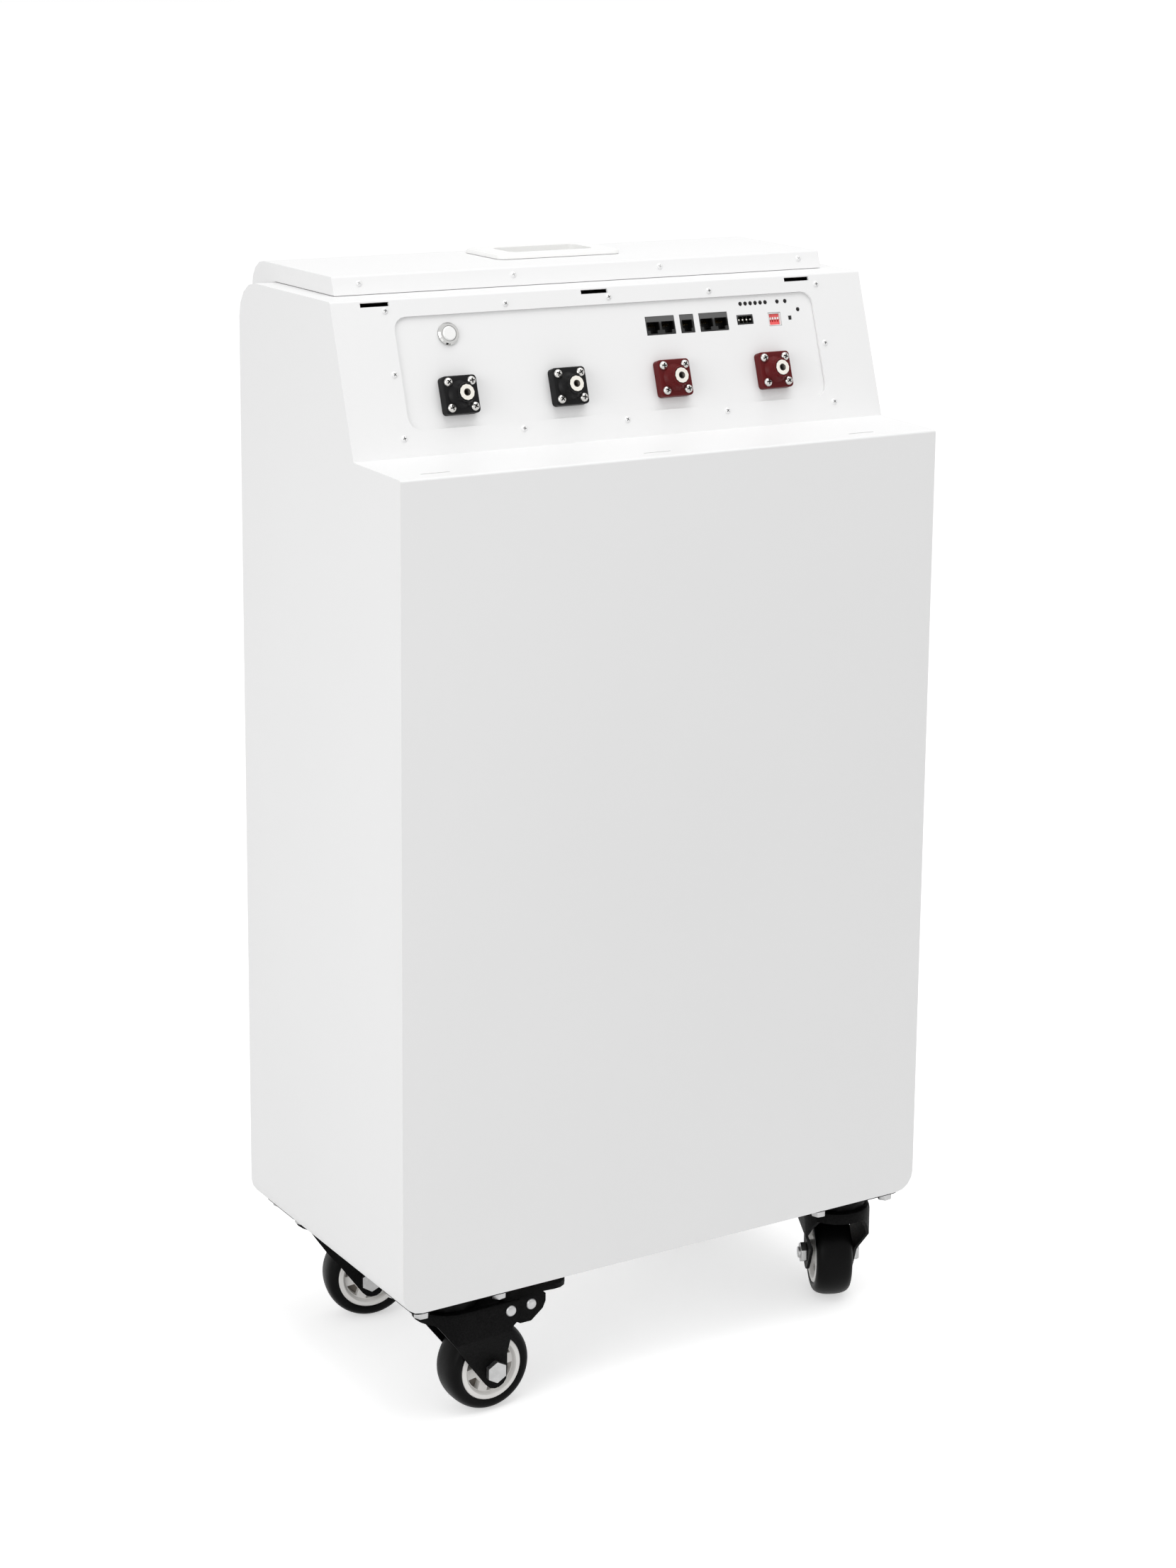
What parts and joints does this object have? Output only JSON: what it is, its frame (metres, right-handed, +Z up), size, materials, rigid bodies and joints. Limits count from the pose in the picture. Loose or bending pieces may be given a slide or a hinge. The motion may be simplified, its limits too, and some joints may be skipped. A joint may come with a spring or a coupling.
{
  "type": "floor-standing lithium battery cabinet",
  "caption": "White sheet-metal lithium battery cabinet on swivel casters, with a sloped panel of power terminals, ports and switches above a front ledge.",
  "frame": {"origin": "on the floor, under the middle of the cabinet's bounding box", "axes": "+Z up, the front with the panel faces -Y, +X to the right seen from the front"},
  "size_m": [0.5, 0.295, 0.9218],
  "materials": {
    "white_powder_coat": "fine-textured white powder coat",
    "white_plastic": "satin white moulding",
    "black_resin": "charcoal glass-filled resin",
    "red_resin": "dark red glass-filled resin",
    "nickel_plate": "nickel plate",
    "tinned_copper": "bare copper bar",
    "port_plastic": "black moulding",
    "dip_red": "coral red moulding",
    "dark_lens": "dark unlit lens",
    "circuit_board": "green solder resist",
    "cell_wrap": "blue film over an aluminium can",
    "aluminium": "plain aluminium",
    "black_painted_steel": "black paint on pressed steel",
    "zinc_plate": "bright zinc plate",
    "hub_plastic": "warm light grey moulding",
    "tyre_rubber": "black rubber tread"
  },
  "bodies": {
    "cabinet": {"case_shell": "white_powder_coat", "service_cover": "white_powder_coat", "cover_handle": "white_plastic", "connector_panel": "white_powder_coat", "negative_busbar": "tinned_copper", "positive_busbar": "tinned_copper", "power_button_body": "nickel_plate", "rj45_jack_left": "port_plastic", "rj11_jack": "port_plastic", "rj45_jack_right": "port_plastic", "contact_header": "port_plastic", "dip_switch_body": "dip_red", "communication_board": "circuit_board", "charge_level_lights": "dark_lens", "alarm_lights": "dark_lens", "run_light": "dark_lens", "cell_base_plate": "aluminium", "cell_top_plate": "aluminium", "cell_stack_left": "cell_wrap", "cell_stack_right": "cell_wrap", "management_module": "aluminium", "terminal_negative_1_housing": "black_resin", "terminal_negative_1_stud": "nickel_plate", "terminal_negative_2_housing": "black_resin", "terminal_negative_2_stud": "nickel_plate", "terminal_positive_1_housing": "red_resin", "terminal_positive_1_stud": "nickel_plate", "terminal_positive_2_housing": "red_resin", "terminal_positive_2_stud": "nickel_plate", "front_left_caster_plate": "black_painted_steel", "front_right_caster_plate": "black_painted_steel", "rear_left_caster_plate": "black_painted_steel", "rear_right_caster_plate": "black_painted_steel"},
    "power_button": {"power_button_cap": "white_plastic"},
    "reset_key": {"reset_plunger": "port_plastic"},
    "dip_lever_1_body": {"dip_lever_1": "white_plastic"},
    "dip_lever_2_body": {"dip_lever_2": "white_plastic"},
    "dip_lever_3_body": {"dip_lever_3": "white_plastic"},
    "dip_lever_4_body": {"dip_lever_4": "white_plastic"},
    "front_left_swivel": {"front_left_fork": "black_painted_steel", "front_left_axle": "zinc_plate"},
    "front_left_wheel": {"front_left_hub": "hub_plastic", "front_left_tyre": "tyre_rubber"},
    "front_left_brake": {"front_left_brake_pedal": "black_painted_steel"},
    "front_right_swivel": {"front_right_fork": "black_painted_steel", "front_right_axle": "zinc_plate"},
    "front_right_wheel": {"front_right_hub": "hub_plastic", "front_right_tyre": "tyre_rubber"},
    "front_right_brake": {"front_right_brake_pedal": "black_painted_steel"},
    "rear_left_swivel": {"rear_left_fork": "black_painted_steel", "rear_left_axle": "zinc_plate"},
    "rear_left_wheel": {"rear_left_hub": "hub_plastic", "rear_left_tyre": "tyre_rubber"},
    "rear_right_swivel": {"rear_right_fork": "black_painted_steel", "rear_right_axle": "zinc_plate"},
    "rear_right_wheel": {"rear_right_hub": "hub_plastic", "rear_right_tyre": "tyre_rubber"}
  },
  "joints": [
    {"name": "power_button_press", "type": "slide", "parent": "cabinet", "child": "power_button", "axis": [0, 0.9503, -0.3114], "range_m": [0, 0.0016], "stiffness_N_per_m": 900},
    {"name": "reset_press", "type": "slide", "parent": "cabinet", "child": "reset_key", "axis": [0, 0.9503, -0.3114], "range_m": [0, 0.0004], "stiffness_N_per_m": 1500},
    {"name": "dip_lever_1_slide", "type": "slide", "parent": "cabinet", "child": "dip_lever_1_body", "axis": [0, -0.3114, -0.9503], "range_m": [0, 0.0016]},
    {"name": "dip_lever_2_slide", "type": "slide", "parent": "cabinet", "child": "dip_lever_2_body", "axis": [0, -0.3114, -0.9503], "range_m": [0, 0.0016]},
    {"name": "dip_lever_3_slide", "type": "slide", "parent": "cabinet", "child": "dip_lever_3_body", "axis": [0, -0.3114, -0.9503], "range_m": [0, 0.0016]},
    {"name": "dip_lever_4_slide", "type": "slide", "parent": "cabinet", "child": "dip_lever_4_body", "axis": [0, -0.3114, -0.9503], "range_m": [0, 0.0016]},
    {"name": "front_left_swivel_turn", "type": "hinge", "parent": "cabinet", "child": "front_left_swivel", "pos_m": [-0.193, -0.1145, 0.0987], "axis": [0, 0, 1], "continuous": true},
    {"name": "front_left_wheel_roll", "type": "hinge", "parent": "front_left_swivel", "child": "front_left_wheel", "pos_m": [-0.1605, -0.1145, 0.0375], "axis": [0, 1, 0], "continuous": true},
    {"name": "front_left_brake_tip", "type": "hinge", "parent": "front_left_swivel", "child": "front_left_brake", "pos_m": [-0.15, -0.1145, 0.0902], "axis": [0, 1, 0], "range_deg": [0, 11]},
    {"name": "front_right_swivel_turn", "type": "hinge", "parent": "cabinet", "child": "front_right_swivel", "pos_m": [0.193, -0.1145, 0.0987], "axis": [0, 0, 1], "continuous": true},
    {"name": "front_right_wheel_roll", "type": "hinge", "parent": "front_right_swivel", "child": "front_right_wheel", "pos_m": [0.20699, -0.08517, 0.0375], "axis": [-0.9026, 0.4305, 0], "continuous": true},
    {"name": "front_right_brake_tip", "type": "hinge", "parent": "front_right_swivel", "child": "front_right_brake", "pos_m": [0.21151, -0.07569, 0.0902], "axis": [-0.9026, 0.4305, 0], "range_deg": [0, 11]},
    {"name": "rear_left_swivel_turn", "type": "hinge", "parent": "cabinet", "child": "rear_left_swivel", "pos_m": [-0.193, 0.0995, 0.0987], "axis": [0, 0, 1], "continuous": true},
    {"name": "rear_left_wheel_roll", "type": "hinge", "parent": "rear_left_swivel", "child": "rear_left_wheel", "pos_m": [-0.16168, 0.09082, 0.0375], "axis": [0.2672, 0.9636, 0], "continuous": true},
    {"name": "rear_right_swivel_turn", "type": "hinge", "parent": "cabinet", "child": "rear_right_swivel", "pos_m": [0.193, 0.0995, 0.0987], "axis": [0, 0, 1], "continuous": true},
    {"name": "rear_right_wheel_roll", "type": "hinge", "parent": "rear_right_swivel", "child": "rear_right_wheel", "pos_m": [0.16161, 0.10791, 0.0375], "axis": [-0.2588, -0.9659, 0], "continuous": true}
  ]
}
